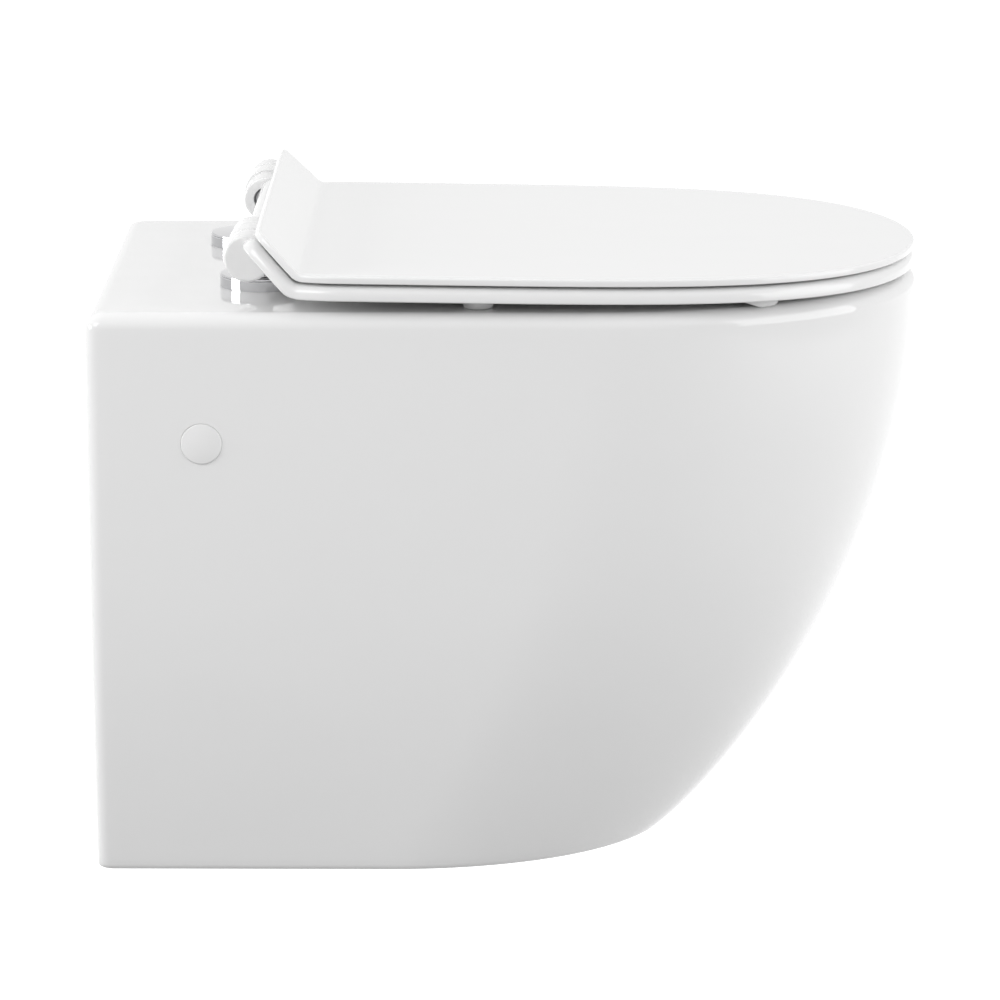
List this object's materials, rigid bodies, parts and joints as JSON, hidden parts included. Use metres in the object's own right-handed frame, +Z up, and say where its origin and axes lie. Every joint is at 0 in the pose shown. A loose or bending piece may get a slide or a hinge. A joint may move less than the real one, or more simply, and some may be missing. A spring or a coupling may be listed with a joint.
{
  "type": "wall hung toilet",
  "caption": "Wall hung toilet pan with a slim soft-closing seat and lid on chromed hinge bases, side fixing under round caps, and a horizontal waste outlet.",
  "frame": {"origin": "on the wall plane, midway between the two wall studs", "axes": "+Y into the wall and -Y to the front of the toilet, +Z up, -X the left side for someone who faces the toilet"},
  "size_m": [0.3714, 0.5129, 0.4079],
  "materials": {
    "glazed_ceramic": "gloss white glaze",
    "seat_resin": "gloss white moulded resin",
    "cap_plastic": "satin white plastic",
    "hinge_plastic": "semi-gloss white plastic",
    "chrome": "polished chrome plate",
    "stainless_steel": "turned stainless steel",
    "zinc_steel": "zinc plated steel",
    "rubber": "black rubber",
    "soft_bumper": "white soft rubber",
    "nylon": "natural nylon",
    "bush_plastic": "white acetal"
  },
  "bodies": {
    "pan": {"bowl": "glazed_ceramic", "ceramic_pan": "glazed_ceramic", "damper_left": "stainless_steel", "damper_right": "stainless_steel", "flush_inlet": "glazed_ceramic", "hinge_base_left": "stainless_steel", "hinge_base_right": "stainless_steel", "hinge_body_left": "hinge_plastic", "hinge_body_right": "hinge_plastic", "hinge_bolt_left": "stainless_steel", "hinge_bolt_right": "stainless_steel", "hinge_cover_left": "chrome", "hinge_cover_right": "chrome", "hinge_nut_left": "nylon", "hinge_nut_right": "nylon", "hinge_plug_left": "rubber", "hinge_plug_right": "rubber", "hinge_post_left": "stainless_steel", "hinge_post_right": "stainless_steel", "side_cap_left": "cap_plastic", "side_cap_right": "cap_plastic", "side_screw_left": "zinc_steel", "side_screw_right": "zinc_steel", "side_washer_left": "nylon", "side_washer_right": "nylon", "trapway": "glazed_ceramic", "wall_bracket_left": "zinc_steel", "wall_bracket_right": "zinc_steel"},
    "seat": {"seat_ring": "seat_resin", "seat_bumpers": "soft_bumper", "damper_shaft_right": "stainless_steel", "knuckle_bush_left": "bush_plastic"},
    "lid": {"lid": "seat_resin", "lid_bumpers": "soft_bumper", "damper_shaft_left": "stainless_steel", "knuckle_bush_right": "bush_plastic"}
  },
  "joints": [
    {"name": "seat_hinge", "type": "hinge", "parent": "pan", "child": "seat", "pos_m": [0, -0.0976, 0.1096], "axis": [-1, 0, 0], "range_deg": [0, 92]},
    {"name": "lid_hinge", "type": "hinge", "parent": "seat", "child": "lid", "pos_m": [0, -0.0976, 0.1096], "axis": [-1, 0, 0], "range_deg": [0, 98]}
  ]
}
